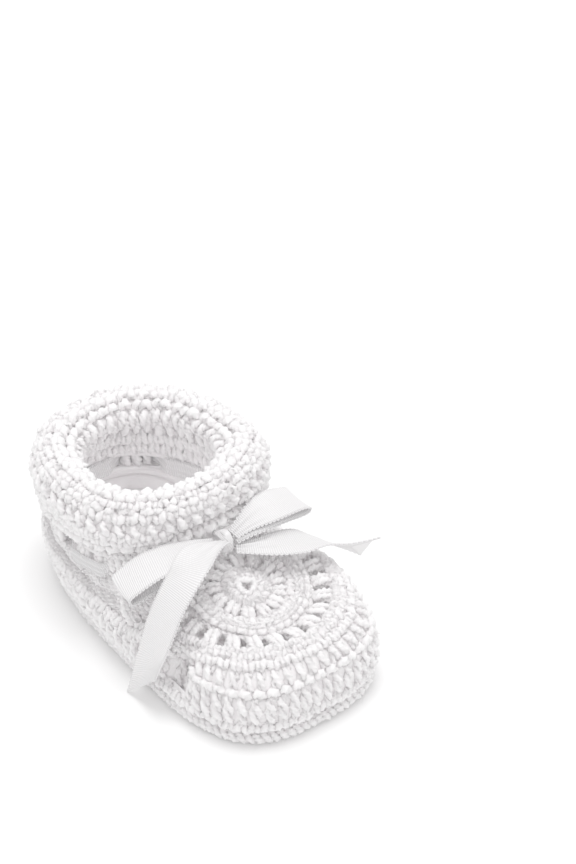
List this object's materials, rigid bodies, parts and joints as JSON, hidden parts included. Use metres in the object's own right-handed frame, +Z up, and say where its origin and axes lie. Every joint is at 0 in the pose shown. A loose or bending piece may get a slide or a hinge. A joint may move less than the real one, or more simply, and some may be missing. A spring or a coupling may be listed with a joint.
{
  "type": "baby bootie",
  "caption": "Crocheted baby bootie with an oval sole, a round toe medallion, a puffy folded ankle cuff and a satin ribbon threaded round the ankle and tied in a bow.",
  "frame": {"origin": "centre of the sole's underside, on the surface that the bootie stands on", "axes": "+Z up, toe towards -Y, heel towards +Y"},
  "size_m": [0.0679, 0.1047, 0.0475],
  "materials": {
    "crochet_yarn": "matt, soft twisted yarn with a light fuzz",
    "sole_crochet": "matt, flat crochet of the same yarn",
    "satin_ribbon": "satin with fine cross ribs and a dotted woven edge"
  },
  "bodies": {
    "root": {"sole": "sole_crochet", "sole_edge_chain": "crochet_yarn", "side_wall_base_round": "crochet_yarn", "side_wall_lower_round": "crochet_yarn", "side_wall_upper_round": "crochet_yarn", "toe_outer_round": "crochet_yarn", "toe_ridge_ring": "crochet_yarn", "toe_spoke_round": "crochet_yarn", "toe_center_ring": "crochet_yarn", "instep_strip": "crochet_yarn", "heel_wall": "crochet_yarn", "eyelet_round": "crochet_yarn", "cuff_lining": "crochet_yarn", "cuff_fold": "crochet_yarn", "cuff_scallop_edge": "crochet_yarn", "ribbon_band": "satin_ribbon", "bow_knot": "satin_ribbon"},
    "left_loop": {"bow_loop_left": "satin_ribbon"},
    "right_loop": {"bow_loop_right": "satin_ribbon"},
    "left_tail": {"bow_tail_left": "satin_ribbon"},
    "right_tail": {"bow_tail_right": "satin_ribbon"}
  },
  "joints": [
    {"name": "left_loop_lift", "type": "hinge", "parent": "root", "child": "left_loop", "pos_m": [0, -0.0086, 0.0336], "axis": [0, 0.8, 0.6], "range_deg": [0, 30]},
    {"name": "right_loop_lift", "type": "hinge", "parent": "root", "child": "right_loop", "pos_m": [0, -0.0086, 0.0336], "axis": [0, -0.8, -0.6], "range_deg": [0, 30]},
    {"name": "left_tail_lift", "type": "hinge", "parent": "left_loop", "child": "left_tail", "pos_m": [0, -0.0086, 0.0336], "axis": [0, 0.9, -0.436], "range_deg": [0, 30]},
    {"name": "right_tail_lift", "type": "hinge", "parent": "root", "child": "right_tail", "pos_m": [0, -0.0086, 0.0336], "axis": [-0.2999, -0.5998, -0.7418], "range_deg": [0, 60]}
  ]
}
